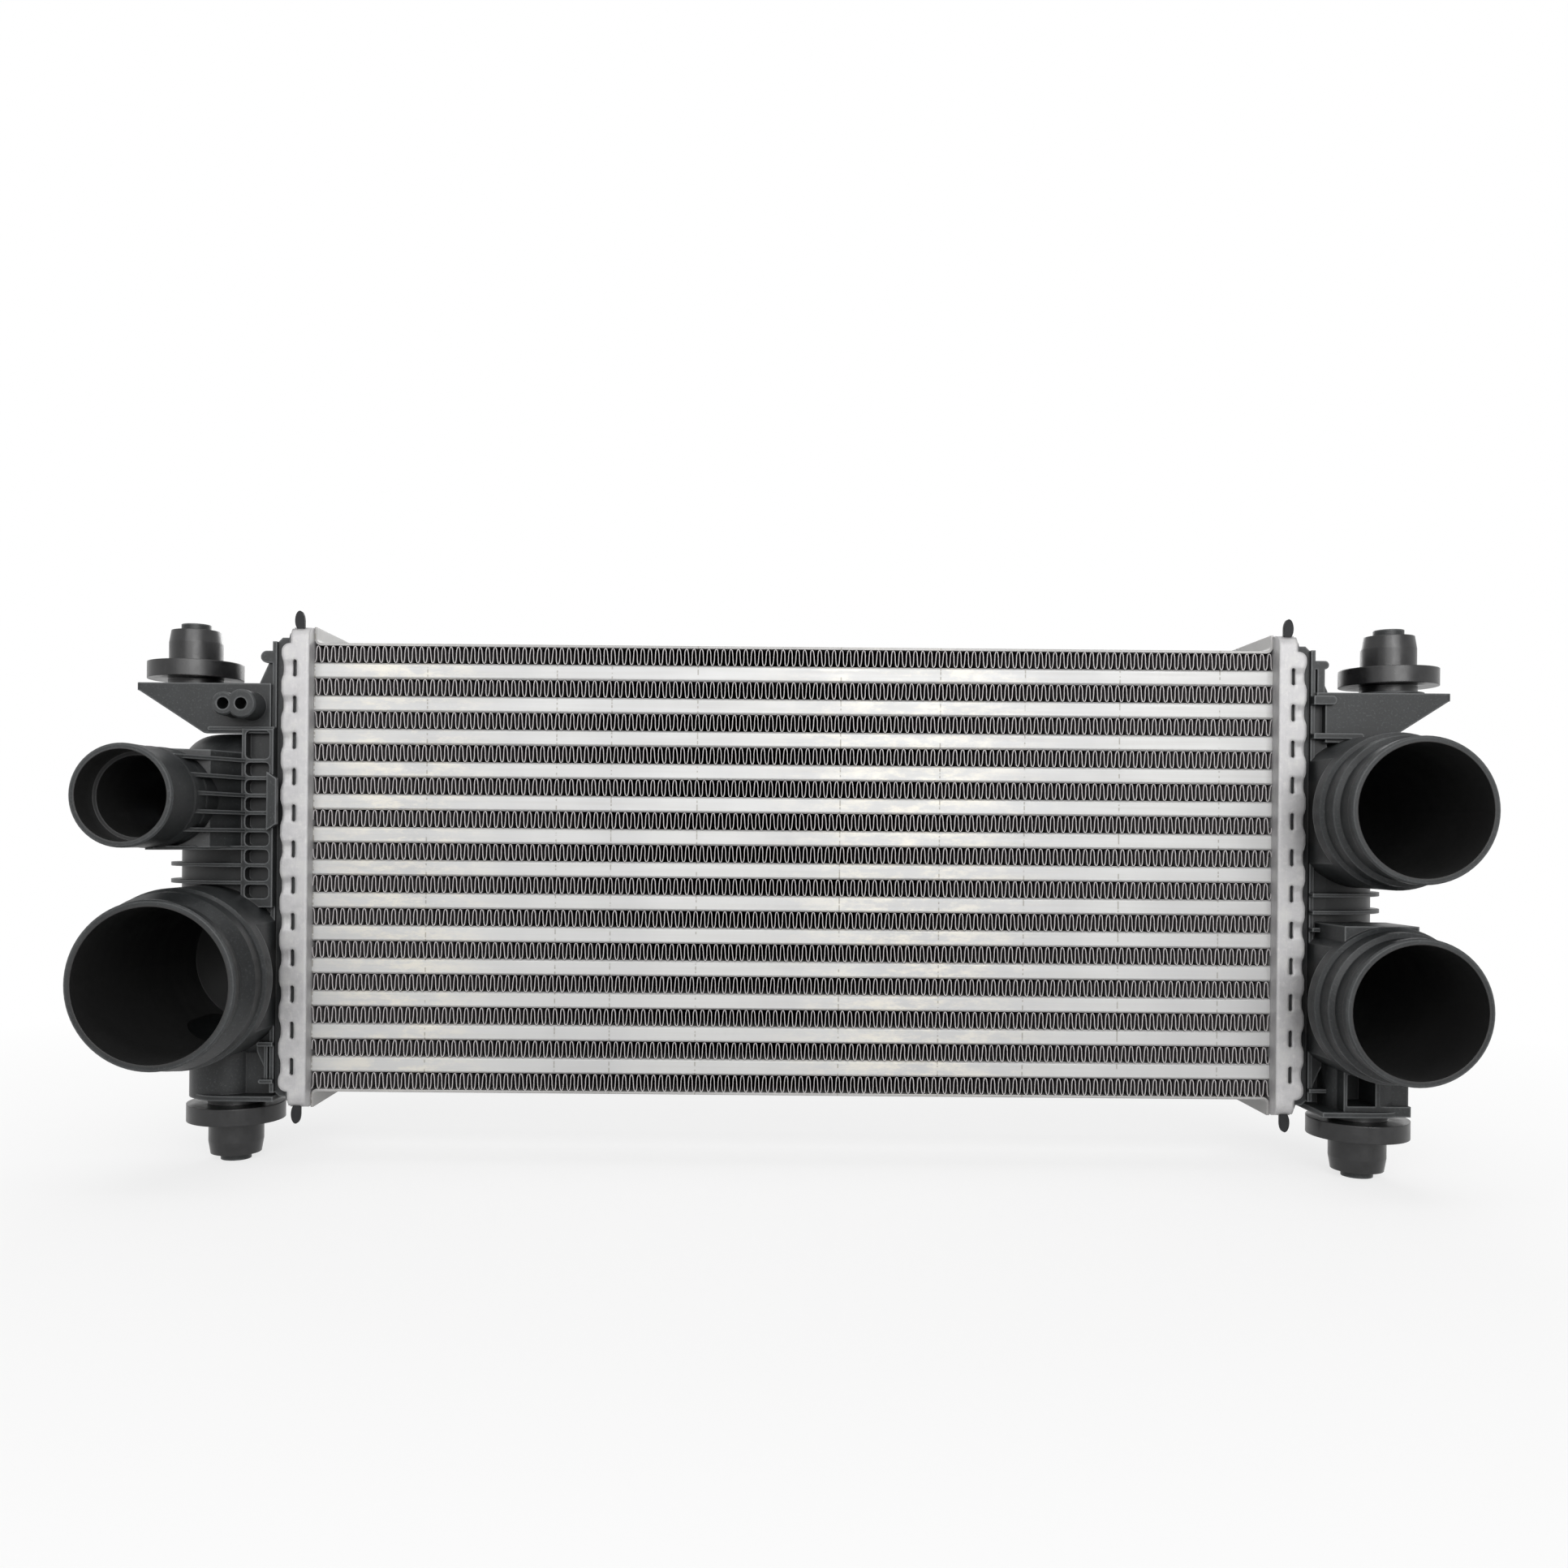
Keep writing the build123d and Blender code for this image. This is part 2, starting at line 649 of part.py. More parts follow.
def isolator():
    """A rubber bush seen in section: neck, flange and tapered boss, with its seat end at zero."""
    bore = pin_radius + pin_gap
    flange_top = neck_height + flange_height
    points = [
        (bore, 0),
        (neck_radius, 0),
        (neck_radius, neck_height),
        (flange_radius, neck_height),
        (flange_radius, flange_top),
        (bush_radius, flange_top),
        (bush_radius, flange_top + bush_straight),
        (bush_tip_radius, isolator_height),
        (bore, isolator_height),
    ]
    return revolve(Plane.XZ * make_face(Polyline(*points, close=True)), Axis.Z)


def place_isolator(side, pin, upper):
    out, depth = pin
    bush = isolator()
    if not upper:
        bush = mirror(bush, about=Plane.XY)
    level = upper_seat if upper else boss_bottom
    across_core = core_width / 2 + out
    return Pos(-across_core if side == "left" else across_core, depth, level) * bush


def main():
    os.makedirs("parts", exist_ok=True)
    tube, inner_fin, fin = charge_air_tube(), turbulator(), cooling_fin()
    for index in range(tube_count):
        save(f"charge_air_tube_{index + 1:02d}", Pos(0, 0, tube_level(index)) * tube)
        save(f"turbulator_{index + 1:02d}", Pos(0, 0, tube_level(index)) * inner_fin)
    for index in range(tube_count + 1):
        save(f"cooling_fin_{index + 1:02d}", Pos(0, 0, fin_level(index)) * fin)
    plate = side_plate()
    save("side_plate_top", plate)
    save("side_plate_bottom", mirror(plate, about=Plane.XY))
    header, gasket = header_plate(), tank_gasket()
    tanks = {"left": left_tank(), "right": right_tank()}
    for side in ("left", "right"):
        save(f"header_plate_{side}", at_end(side, header))
        save(f"tank_gasket_{side}", at_end(side, gasket))
        save(f"end_tank_{side}", at_end(side, tanks[side]))
    save("isolator_upper_left", place_isolator("left", upper_left_pin, True))
    save("isolator_upper_right", place_isolator("right", upper_right_pin, True))
    save("isolator_lower_left", place_isolator("left", lower_left_pin, False))
    save("isolator_lower_right", place_isolator("right", lower_right_pin, False))


main()
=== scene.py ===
import json
import math
import random
import bpy
from mathutils import Matrix, Vector


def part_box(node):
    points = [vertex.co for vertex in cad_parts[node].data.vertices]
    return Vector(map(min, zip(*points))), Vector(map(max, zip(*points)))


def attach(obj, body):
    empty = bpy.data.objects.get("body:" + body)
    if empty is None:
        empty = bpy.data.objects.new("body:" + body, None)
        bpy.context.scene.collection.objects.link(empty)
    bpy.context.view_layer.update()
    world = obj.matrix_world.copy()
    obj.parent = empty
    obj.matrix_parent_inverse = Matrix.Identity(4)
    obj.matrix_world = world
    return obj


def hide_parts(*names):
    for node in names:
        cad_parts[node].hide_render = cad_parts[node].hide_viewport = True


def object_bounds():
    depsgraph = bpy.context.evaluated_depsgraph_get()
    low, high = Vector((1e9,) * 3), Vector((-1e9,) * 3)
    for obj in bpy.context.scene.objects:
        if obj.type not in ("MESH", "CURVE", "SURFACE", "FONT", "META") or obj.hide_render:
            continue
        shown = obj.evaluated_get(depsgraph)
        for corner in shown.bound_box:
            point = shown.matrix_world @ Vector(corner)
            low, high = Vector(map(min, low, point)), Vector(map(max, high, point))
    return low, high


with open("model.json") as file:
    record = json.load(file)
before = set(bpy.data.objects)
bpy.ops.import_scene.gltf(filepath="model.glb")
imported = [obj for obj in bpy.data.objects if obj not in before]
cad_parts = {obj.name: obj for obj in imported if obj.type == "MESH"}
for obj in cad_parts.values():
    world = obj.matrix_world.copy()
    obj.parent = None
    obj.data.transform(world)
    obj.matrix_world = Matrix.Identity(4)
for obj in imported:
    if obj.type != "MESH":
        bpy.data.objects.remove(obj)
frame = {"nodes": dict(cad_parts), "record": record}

MM = 0.001
CAD_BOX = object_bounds()
NODES = frame["nodes"]
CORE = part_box("charge_air_tube_01")             # a tube is as long and as deep as the core
CORE_LEFT = CORE[0][0]
CORE_MIDDLE = (CORE[0][1] + CORE[1][1]) / 2     # half way between the core's two faces
CORE_HALF_DEPTH = (CORE[1][1] - CORE[0][1]) / 2
RAYS = 6                                        # that a material sends out to find its edges and recesses


# ---------------------------------------------------------------- colours and nodes


def srgb(text):
    """A hex colour as written on a colour chart, turned to linear."""
    parts = [int(text[i:i + 2], 16) / 255 for i in (1, 3, 5)]
    return [c / 12.92 if c <= 0.04045 else ((c + 0.055) / 1.055) ** 2.4 for c in parts] + [1.0]


def fill(tree, made, inputs):
    """Fills a node's inputs by name or number: a node or a socket is linked, and a value is set."""
    for key, value in inputs.items():
        if isinstance(value, bpy.types.Node):
            value = value.outputs[0]
        if isinstance(value, bpy.types.NodeSocket):
            tree.links.new(value, made.inputs[key])
        else:
            made.inputs[key].default_value = value


def node(tree, kind, inputs=None, stops=(), **settings):
    """Adds one node with its inputs and settings. Stops are the places and hex colours of a colour ramp."""
    made = tree.nodes.new("ShaderNode" + kind)
    for key, value in settings.items():
        setattr(made, key, value)
    fill(tree, made, inputs or {})
    if stops:
        elements = made.color_ramp.elements
        while len(elements) < len(stops):
            elements.new(0.5)
        for element, (spot, colour) in zip(elements, stops):
            element.position = spot
            element.color = srgb(colour)
    return made


def material(name):
    """Starts a material: gives it, its tree, its surface shader and the point on the piece in metres."""
    made = bpy.data.materials.new(name)
    made.use_nodes = True
    tree = made.node_tree
    at = node(tree, "TexCoord").outputs["Object"]
    return made, tree, tree.nodes["Principled BSDF"], at


def coated(tree, tone, *coats):
    """Lays colours over a tone, one after another. Each coat is the pattern it follows, the pattern's value
    where the coat starts, its value where the coat is full, the coat's strength there, and its colour."""
    for pattern, start, full, strength, colour in coats:
        share = node(tree, "MapRange", {"Value": pattern, "From Min": start, "From Max": full,
                                        "To Max": strength})
        tone = node(tree, "Mix", {0: share, 6: tone, 7: srgb(colour)}, data_type="RGBA").outputs[2]
    return tone


# ---------------------------------------------------------------- rolled strip: tubes and side plates


# All sizes are in millimetres. A run is how many times longer than wide a mark is along the core.
LINE_WIDTH, LINE_RUN = 0.9, 60                  # fine lines from rolling, drawn coarse enough to show
CLOUD_SIZE, CLOUD_RISE = 70.0, 2.5              # slow changes of tone, and how much taller they are than long
BLOT_SIZE, BLOT_RUN = 5.0, 3                    # blots within each place that is polished and painted pale as a reflection
BREAK_SIZE, BREAK_RUN = 1.6, 8                  # breaks in the roller ticks
TICK_SPACING, TICK_WIDTH = 46.0, 0.5            # faint marks that the rollers leave across the strip
TICK_BLUR = 1.5                                 # how many times its width a mark is, with its soft edges
POLISH_AND_REFLECTION_PLACES = ((45.0, 50.0), (285.0, 75.0))     # places polished and painted pale as a reflection: each one's middle from the core's left end, and its reach
POLISH_AND_REFLECTION_HEART = 0.2                                # the share of that reach where the polish and the painted reflection are full
WORN_POLISH = 0.08                              # how much smoother the strip is there
STRIP_EDGE = 0.5                                # radius of the strip's edges
LINE_DEPTH = 0.012


def polish_and_reflection_places(tree, along):
    """1 in the middle of each polished place along the core that is painted pale as a reflection, fading to 0
    at its ends.
    """
    polish_and_reflection = 0.0
    for middle, reach in POLISH_AND_REFLECTION_PLACES:
        off = node(tree, "Math", {0: along, 1: CORE_LEFT + middle * MM}, operation="SUBTRACT")
        away = node(tree, "Math", {0: off}, operation="ABSOLUTE")
        near = node(tree, "MapRange", {"Value": away, "From Min": POLISH_AND_REFLECTION_HEART * reach * MM,
                                       "From Max": reach * MM, "To Min": 1.0, "To Max": 0.0})
        polish_and_reflection = node(tree, "Math", {0: polish_and_reflection, 1: near}, operation="MAXIMUM")
    return polish_and_reflection


def roller_ticks(tree, at, along):
    """1 on the broken lines that the rollers leave across the strip, at uneven steps, and 0 elsewhere."""
    steps = node(tree, "Math", {0: along, 1: 1 / (TICK_SPACING * MM)}, operation="MULTIPLY")
    rolls = node(tree, "TexVoronoi", {"W": steps, "Scale": 1.0},
                 voronoi_dimensions="1D", feature="DISTANCE_TO_EDGE")
    half_tick = 0.5 * TICK_WIDTH / TICK_SPACING
    on_line = node(tree, "MapRange", {"Value": rolls.outputs["Distance"], "From Min": half_tick,
                                      "From Max": TICK_BLUR * half_tick, "To Min": 1.0, "To Max": 0.0})
    breaks = node(tree, "TexNoise", {
        "Vector": node(tree, "Mapping", {"Vector": at, "Scale": (1 / BREAK_RUN, 1, 1)}),
        "Scale": 1 / (BREAK_SIZE * MM), "Detail": 1.0, "Roughness": 0.5})
    dashes = node(tree, "MapRange", {"Value": breaks, "From Min": 0.46, "From Max": 0.54})
    return node(tree, "Math", {0: on_line, 1: dashes}, operation="MULTIPLY")


def rolled_aluminium(name, dark, light, polish_and_reflection_strength):
    """Mill-finish aluminium strip: pale and satin, with fine rolling lines along X, polished patches painted
    pale as a reflection, and faint dark ticks across it."""
    made, tree, shader, at = material(name)
    along = node(tree, "SeparateXYZ", {"Vector": at}).outputs["X"]
    lines = node(tree, "TexNoise", {
        "Vector": node(tree, "Mapping", {"Vector": at, "Scale": (1 / LINE_RUN, 1, 1)}),
        "Scale": 1 / (LINE_WIDTH * MM), "Detail": 3.0, "Roughness": 0.6})
    clouds = node(tree, "TexNoise", {
        "Vector": node(tree, "Mapping", {"Vector": at, "Scale": (1, 1, 1 / CLOUD_RISE)}),
        "Scale": 1 / (CLOUD_SIZE * MM), "Detail": 4.0, "Roughness": 0.6})
    blots = node(tree, "TexNoise", {
        "Vector": node(tree, "Mapping", {"Vector": at, "Scale": (1 / BLOT_RUN, 1, 1)}),
        "Scale": 1 / (BLOT_SIZE * MM), "Detail": 6.0, "Roughness": 0.8})
    patches = node(tree, "MapRange", {"Value": blots, "From Min": 0.46, "From Max": 0.60, "To Max": polish_and_reflection_strength})
    polish_and_reflection = node(tree, "Math", {0: patches, 1: polish_and_reflection_places(tree, along)}, operation="MULTIPLY")
    tone = node(tree, "ValToRGB", {"Fac": clouds}, stops=((0.40, dark), (0.60, light)))
    tone = coated(tree, tone,
                  (lines, 0.40, 0.65, 0.22, "#a9a7a3"),
                  # painted reflection: paler in the polished places
                  (polish_and_reflection, 0.0, 1.0, 1.0, "#cfcabd"),
                  (roller_ticks(tree, at, along), 0.0, 1.0, 0.6, "#6f6b60"))
    satin = node(tree, "MapRange", {"Value": lines, "From Min": 0.3, "From Max": 0.7,
                                    "To Min": 0.44, "To Max": 0.56})
    polish = node(tree, "Math", {0: polish_and_reflection, 1: WORN_POLISH}, operation="MULTIPLY")
    edges = node(tree, "Bevel", {"Radius": STRIP_EDGE * MM}, samples=RAYS)
    fill(tree, shader, {
        "Base Color": tone,
        "Metallic": 0.35,
        "Roughness": node(tree, "Math", {0: satin, 1: polish}, operation="SUBTRACT"),
        "Normal": node(tree, "Bump", {"Height": lines, "Distance": LINE_DEPTH * MM, "Normal": edges}),
    })
    return made


# ---------------------------------------------------------------- foil: fins


FOIL_SHADE_DEPTH = 20.0      # mm in from each face of the core, where the painted shade on the foil is darkest


def fin_aluminium():
    """Thin folded foil: pale at its cut edges on both faces of the core, and darker further in with painted
    shade."""
    made, tree, shader, at = material("fin_aluminium")
    across = node(tree, "SeparateXYZ", {"Vector": at}).outputs["Y"]
    off = node(tree, "Math", {0: across, 1: CORE_MIDDLE}, operation="SUBTRACT")
    off_middle = node(tree, "Math", {0: off}, operation="ABSOLUTE")
    inward = node(tree, "MapRange", {"Value": off_middle, "From Min": CORE_HALF_DEPTH - FOIL_SHADE_DEPTH * MM,
                                     "From Max": CORE_HALF_DEPTH, "To Min": 1.0, "To Max": 0.0})
    # painted shade: the foil darkens from its pale cut edges towards the core's middle
    tone = node(tree, "ValToRGB", {"Fac": inward}, stops=(
        (0.0, "#b0acac"), (0.025, "#918d8e"), (0.06, "#656263"),
        (0.25, "#524f50"), (0.55, "#252425"), (1.0, "#0f0e0f")))
    fill(tree, shader, {"Base Color": tone, "Metallic": 0.15, "Roughness": 0.55})
    return made


# ---------------------------------------------------------------- brazed sheet: header plates


MOTTLE_SIZE = 7.0                       # mm, as are the sizes below
BLOOM_SIZE = 2.2                        # pale bloom that the brazing flux leaves
STAIN_SIZE, STAIN_RISE = 12.0, 2        # darker stains, taller than wide
SCRATCH_WIDTH, SCRATCH_RISE = 0.35, 14
SHEET_GRAIN, SHEET_GRAIN_DEPTH = 0.8, 0.03
PRESSED_EDGE = 2.2                      # radius that the press leaves on folds and edges


def brazed_aluminium():
    """Pressed sheet after brazing: dull, mottled grey with pale bloom, darker stains and fine scratches."""
    made, tree, shader, at = material("brazed_aluminium")
    mottle = node(tree, "TexNoise", {
        "Vector": at, "Scale": 1 / (MOTTLE_SIZE * MM), "Detail": 5.0, "Roughness": 0.65})
    bloom = node(tree, "TexNoise", {
        "Vector": at, "Scale": 1 / (BLOOM_SIZE * MM), "Detail": 3.0, "Roughness": 0.6})
    stain = node(tree, "TexNoise", {
        "Vector": node(tree, "Mapping", {"Vector": at, "Scale": (1, 1, 1 / STAIN_RISE)}),
        "Scale": 1 / (STAIN_SIZE * MM), "Detail": 4.0, "Roughness": 0.7})
    scratch = node(tree, "TexNoise", {
        "Vector": node(tree, "Mapping", {"Vector": at, "Scale": (1, 1, 1 / SCRATCH_RISE)}),
        "Scale": 1 / (SCRATCH_WIDTH * MM), "Detail": 2.0, "Roughness": 0.5})
    grain = node(tree, "TexNoise", {
        "Vector": at, "Scale": 1 / (SHEET_GRAIN * MM), "Detail": 3.0, "Roughness": 0.5})
    tone = node(tree, "ValToRGB", {"Fac": mottle}, stops=(
        (0.30, "#a5a4a5"), (0.50, "#b0afb0"), (0.70, "#babab8")))
    tone = coated(tree, tone,
                  (bloom, 0.55, 0.75, 0.40, "#cbcac6"),
                  (stain, 0.58, 0.75, 0.45, "#8f8b8d"),
                  (scratch, 0.62, 0.70, 0.25, "#dcdbd8"))
    edges = node(tree, "Bevel", {"Radius": PRESSED_EDGE * MM}, samples=RAYS)
    fill(tree, shader, {
        "Base Color": tone,
        "Metallic": 0.35,
        "Roughness": node(tree, "MapRange", {"Value": mottle, "From Min": 0.3, "From Max": 0.7,
                                             "To Min": 0.45, "To Max": 0.6}),
        "Normal": node(tree, "Bump", {"Height": grain, "Distance": SHEET_GRAIN_DEPTH * MM, "Normal": edges}),
    })
    return made


# ---------------------------------------------------------------- moulded nylon: end tanks


FLOW_SIZE, FLOW_RISE = 14.0, 2.5        # mm, as are the sizes below: flow marks, taller than wide
SPECK_SIZE = 1.1                        # pale glass fibres at the surface, drawn coarse enough to show
DUST_SIZE = 5.0
RECESS_SHADE_REACH = 9.0                      # how near its walls are in a recess that gets painted shade
RUBBED_AND_HIGHLIGHT_REACH = 0.9                      # how near to a free edge the plastic is painted pale, as rubbing and as a highlight
MOULD_GRAIN, MOULD_GRAIN_DEPTH = 0.6, 0.025
MOULDED_EDGE = 0.7
SPIGOT_WALL = 2.4                       # from a spigot's outside to the painted shade in its bore
BORE_SHADE_BACK = 38.0                        # behind the core's middle, where the painted shade ends
BORE_SHADE_FADE = 0.6


def inside_ports(tree, at):
    """1 inside the tanks' spigots, which their mounts place, where the bores get painted shade, and 0
    elsewhere.
    """
    split = node(tree, "SeparateXYZ", {"Vector": at})
    nearest = 1.0
    for mount in frame["record"]["mounts"]:
        if "spigot" not in mount["name"]:
            continue
        side = node(tree, "Math", {0: split.outputs["X"], 1: mount["pos_m"][0]}, operation="SUBTRACT")
        rise = node(tree, "Math", {0: split.outputs["Z"], 1: mount["pos_m"][2]}, operation="SUBTRACT")
        off_axis = node(tree, "CombineXYZ", {"X": side, "Z": rise})
        radius = node(tree, "VectorMath", {0: off_axis}, operation="LENGTH").outputs["Value"]
        bore = (mount["dims"]["r_mm"] - SPIGOT_WALL) * MM
        beyond = node(tree, "Math", {0: radius, 1: bore}, operation="SUBTRACT")
        nearest = node(tree, "Math", {0: nearest, 1: beyond}, operation="MINIMUM")
    in_bore = node(tree, "MapRange", {"Value": nearest, "From Min": 0.0, "From Max": BORE_SHADE_FADE * MM,
                                      "To Min": 1.0, "To Max": 0.0})
    from_back = node(tree, "Math", {0: CORE_MIDDLE + BORE_SHADE_BACK * MM, 1: split.outputs["Y"]},
                     operation="SUBTRACT")
    in_front = node(tree, "MapRange", {"Value": from_back, "From Min": 0.0, "From Max": BORE_SHADE_FADE * MM})
    return node(tree, "Math", {0: in_bore, 1: in_front}, operation="MULTIPLY")


def moulded_nylon():
    """Glass-filled nylon: charcoal and satin, with pale fibres and flow marks, edges painted pale for rubbing
    and a highlight, and painted shade in recesses and in the bores."""
    made, tree, shader, at = material("moulded_nylon")
    flow = node(tree, "TexNoise", {
        "Vector": node(tree, "Mapping", {"Vector": at, "Scale": (1, 1, 1 / FLOW_RISE)}),
        "Scale": 1 / (FLOW_SIZE * MM), "Detail": 4.0, "Roughness": 0.6})
    speck = node(tree, "TexNoise", {
        "Vector": at, "Scale": 1 / (SPECK_SIZE * MM), "Detail": 3.0, "Roughness": 0.6})
    dust = node(tree, "TexNoise", {
        "Vector": at, "Scale": 1 / (DUST_SIZE * MM), "Detail": 5.0, "Roughness": 0.7})
    grain = node(tree, "TexNoise", {
        "Vector": at, "Scale": 1 / (MOULD_GRAIN * MM), "Detail": 2.0, "Roughness": 0.5})
    air = node(tree, "AmbientOcclusion", {"Distance": RECESS_SHADE_REACH * MM}, samples=RAYS, only_local=True)
    wall = node(tree, "AmbientOcclusion", {"Distance": RUBBED_AND_HIGHLIGHT_REACH * MM}, samples=RAYS, only_local=True,
                inside=True)
    tone = node(tree, "ValToRGB", {"Fac": flow}, stops=(
        (0.30, "#191b1c"), (0.55, "#222425"), (0.75, "#2d2f30")))
    tone = coated(tree, tone,
                  (speck, 0.55, 0.72, 0.45, "#4b4d4e"),
                  (dust, 0.60, 0.80, 0.30, "#3f4041"),
                  # painted shade: darker in recesses, where the occlusion node finds walls near
                  (air.outputs["AO"], 0.94, 0.50, 0.80, "#0c0d0e"),
                  # painted highlight, with rubbing: paler at free edges
                  (wall.outputs["AO"], 0.92, 0.64, 0.65, "#6c6e6f"),
                  # painted shade: the bores are dark inside
                  (inside_ports(tree, at), 0.0, 1.0, 1.0, "#242424"))
    edges = node(tree, "Bevel", {"Radius": MOULDED_EDGE * MM}, samples=RAYS)
    fill(tree, shader, {
        "Base Color": tone,
        "Roughness": node(tree, "MapRange", {"Value": flow, "From Min": 0.3, "From Max": 0.7,
                                             "To Min": 0.37, "To Max": 0.49}),
        "IOR": 1.5,
        "Specular IOR Level": 0.38,
        "Normal": node(tree, "Bump", {"Height": grain, "Distance": MOULD_GRAIN_DEPTH * MM, "Normal": edges}),
    })
    return made


# ---------------------------------------------------------------- moulded rubber: isolators and gaskets


RUBBER_BLOOM_SIZE = 5.0                 # mm, as are the sizes below
RUBBER_GRAIN, RUBBER_GRAIN_DEPTH = 0.9, 0.012
RUBBER_EDGE = 0.8
UNEVEN_SHEEN = 0.12                     # how much rougher the rubber is where it blooms


def smooth_rubber(name, dark, light, roughness, shine):
    """Moulded rubber: near black, with a soft even sheen and a little bloom on the surface."""
    made, tree, shader, at = material(name)
    bloom = node(tree, "TexNoise", {
        "Vector": at, "Scale": 1 / (RUBBER_BLOOM_SIZE * MM), "Detail": 4.0, "Roughness": 0.6})
    grain = node(tree, "TexNoise", {
        "Vector": at, "Scale": 1 / (RUBBER_GRAIN * MM), "Detail": 2.0, "Roughness": 0.5})
    edges = node(tree, "Bevel", {"Radius": RUBBER_EDGE * MM}, samples=RAYS)
    fill(tree, shader, {
        "Base Color": node(tree, "ValToRGB", {"Fac": bloom}, stops=((0.35, dark), (0.70, light))),
        "Roughness": node(tree, "MapRange", {"Value": bloom, "From Min": 0.3, "From Max": 0.7,
                                             "To Min": roughness, "To Max": roughness + UNEVEN_SHEEN}),
        "IOR": 1.52,
        "Specular IOR Level": shine,
        "Normal": node(tree, "Bump", {"Height": grain, "Distance": RUBBER_GRAIN_DEPTH * MM, "Normal": edges}),
    })
    return made


# ---------------------------------------------------------------- each CAD node's finish


FIN_METAL = fin_aluminium()
FINISHES = {
    "charge_air_tube": rolled_aluminium("rolled_aluminium_tube", "#adadad", "#b5b5b4", 0.6),
    "turbulator": FIN_METAL,
    "cooling_fin": FIN_METAL,
    "side_plate": rolled_aluminium("rolled_aluminium_side_plate", "#8f8e8d", "#9e9d9c", 0.12),
    "header_plate": brazed_aluminium(),
    "tank_gasket": smooth_rubber("moulded_rubber_gasket", "#18181a", "#242527", 0.55, 0.25),
    "end_tank": moulded_nylon(),
    "isolator": smooth_rubber("moulded_rubber_isolator", "#121213", "#1d1d1e", 0.27, 0.5),
}
for cad_name, cad_object in NODES.items():
    finish = next(made for start, made in FINISHES.items() if cad_name.startswith(start))
    cad_object.data.materials.clear()
    cad_object.data.materials.append(finish)


# ---------------------------------------------------------------- cooling fins


# All sizes are in millimetres.
FIN_PITCH = 3.46
FIN_SHEET = 0.34
CREST_WIDTH = 0.9               # 0 is a plain sine wave; towards 1 the crests widen and the legs stand up
STEPS_PER_LEG = 7
WAVES_PER_ROW = 130
WAVE_STARTS = (0, 3, 7, 10)     # steps from a crest at which a row's foil may begin
WAVE_START_SEED = 7
STRIP_DEPTH = 24.0              # of the foil at each face of the core
LOUVRE_SWING = 1.2              # how far the louvres behind it lean in and out
BANK_SHORTER = 2.0              # how much shorter than the row a bank of louvres is
WELD_REACH = 0.02               # within which the ends of neighbouring waves become one
STRAY = 0.8                     # how far the waves wander from an even pitch
STRAY_LENGTH = 14.0             # over which they do so
SMOOTH_BELOW = 40               # degrees; a sharper fold keeps its edge


def deselect():
    if bpy.context.mode != "OBJECT":
        bpy.ops.object.mode_set(mode="OBJECT")
    bpy.ops.object.select_all(action="DESELECT")


def pick_edges(piece, wanted):
    """In edit mode, selects only the edges whose two ends pass a test."""
    bpy.ops.mesh.select_all(action="DESELECT")
    bpy.ops.object.mode_set(mode="OBJECT")
    mesh = piece.data
    for edge in mesh.edges:
        ends = [mesh.vertices[i].co for i in edge.vertices]
        edge.select = wanted(*ends)
    bpy.ops.object.mode_set(mode="EDIT")
    bpy.ops.mesh.select_mode(type="EDGE")


def apply_all(piece):
    bpy.context.view_layer.objects.active = piece
    for modifier in list(piece.modifiers):
        bpy.ops.object.modifier_apply(modifier=modifier.name)


def repeat(piece, count):
    """Repeats one wave along X, each welded to the last."""
    array = piece.modifiers.new("waves", "ARRAY")
    array.count = count
    array.use_relative_offset = False
    array.use_constant_offset = True
    array.constant_offset_displace = (FIN_PITCH * MM, 0, 0)
    array.use_merge_vertices = True
    array.merge_threshold = WELD_REACH * MM


def centred(piece):
    middle = sum(vertex.co.x for vertex in piece.data.vertices) / len(piece.data.vertices)
    piece.data.transform(Matrix.Translation((-middle, 0, 0)))
    return piece


def wave_point(step, swing):
    """A point on the foil's wave, so many steps from a crest."""
    share = step / STEPS_PER_LEG
    along = share + CREST_WIDTH * math.sin(2 * math.pi * share) / (2 * math.pi)
    return Vector((along * FIN_PITCH / 2 * MM, 0, swing * math.cos(math.pi * share) * MM))


def corrugated_strip(height, start):
    """One strip of foil, folded into round crests joined by standing legs, centred on the origin."""
    deselect()
    swing = (height - FIN_SHEET) / 2
    bpy.ops.mesh.primitive_plane_add(size=1)
    strip = bpy.context.object
    first = wave_point(start, swing)
    second = wave_point(start + 1, swing)
    for vertex in strip.data.vertices:
        corner = second if vertex.co.x > 0 else first
        vertex.co = (corner.x, vertex.co.y * STRIP_DEPTH * MM, corner.z)
    bpy.ops.object.mode_set(mode="EDIT")
    pick_edges(strip, lambda a, b: min(a.x, b.x) > (first.x + second.x) / 2)
    for step in range(start + 1, start + 2 * STEPS_PER_LEG):
        move = wave_point(step + 1, swing) - wave_point(step, swing)
        bpy.ops.mesh.extrude_edges_move(TRANSFORM_OT_translate={"value": move})
    bpy.ops.object.mode_set(mode="OBJECT")
    repeat(strip, WAVES_PER_ROW)
    shell = strip.modifiers.new("foil", "SOLIDIFY")
    shell.thickness = FIN_SHEET * MM
    shell.offset = 0
    apply_all(strip)
    return centred(strip)


